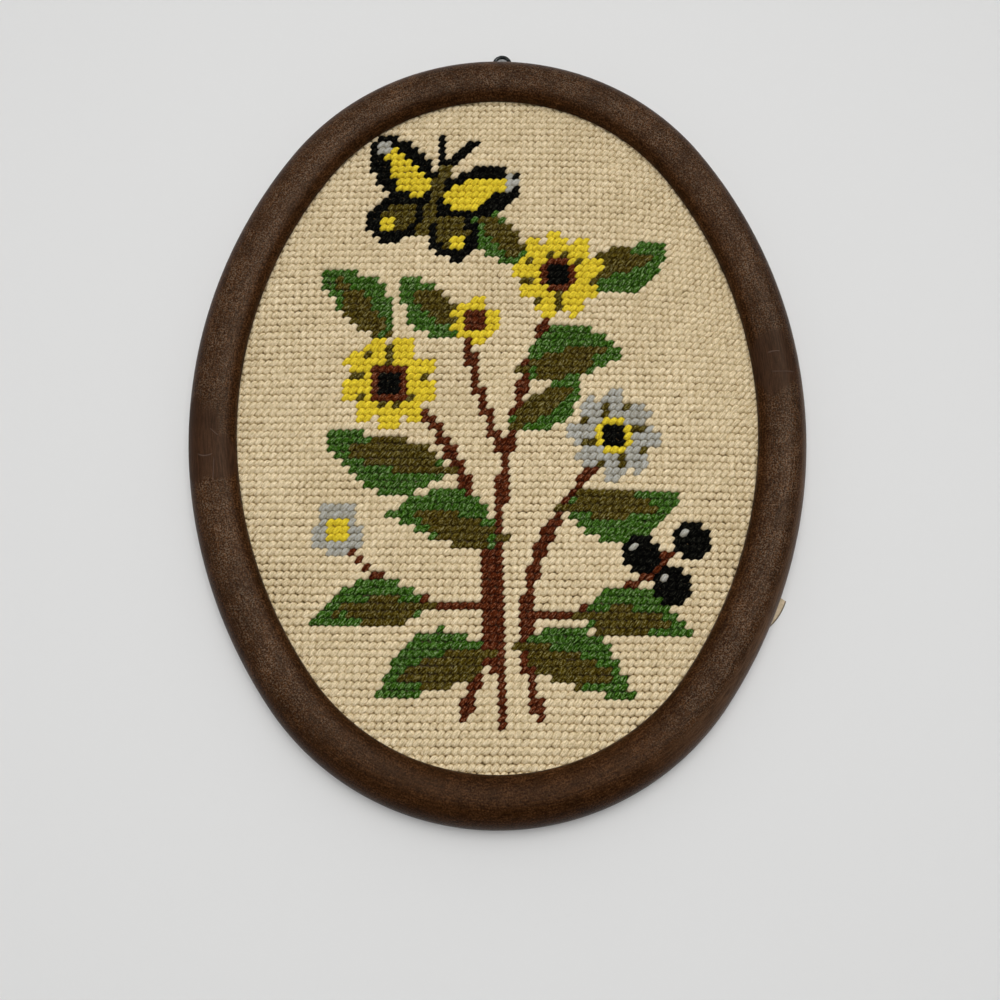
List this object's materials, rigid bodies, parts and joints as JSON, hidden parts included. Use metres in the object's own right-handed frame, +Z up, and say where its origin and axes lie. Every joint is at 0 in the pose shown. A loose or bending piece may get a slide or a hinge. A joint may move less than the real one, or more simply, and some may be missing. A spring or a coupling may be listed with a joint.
{
  "type": "needlepoint picture with oval frame",
  "caption": "Stitched needlepoint flower picture stretched in a moulded oval frame with a rounded rail, a wire hanging loop at the top and a board behind.",
  "frame": {"origin": "centre of the bounding box on the plane of the frame's foot, on which the picture lies", "axes": "+Z up out of the stitched face, +Y towards the top of the picture, where the hanging loop is, +X to its right"},
  "size_m": [0.2068, 0.2726, 0.013],
  "materials": {
    "frame_moulding": "satin, fine leathery speckle",
    "wool_stitches": "wool yarn in tent stitch",
    "backing_card": "matt fibre card",
    "black_wire": "dark lacquer",
    "gummed_paper": "matt paper strip"
  },
  "bodies": {
    "root": {"frame": "frame_moulding", "needlepoint": "wool_stitches", "backing_board": "backing_card", "hanging_loop": "black_wire", "paper_tape": "gummed_paper"}
  },
  "joints": []
}
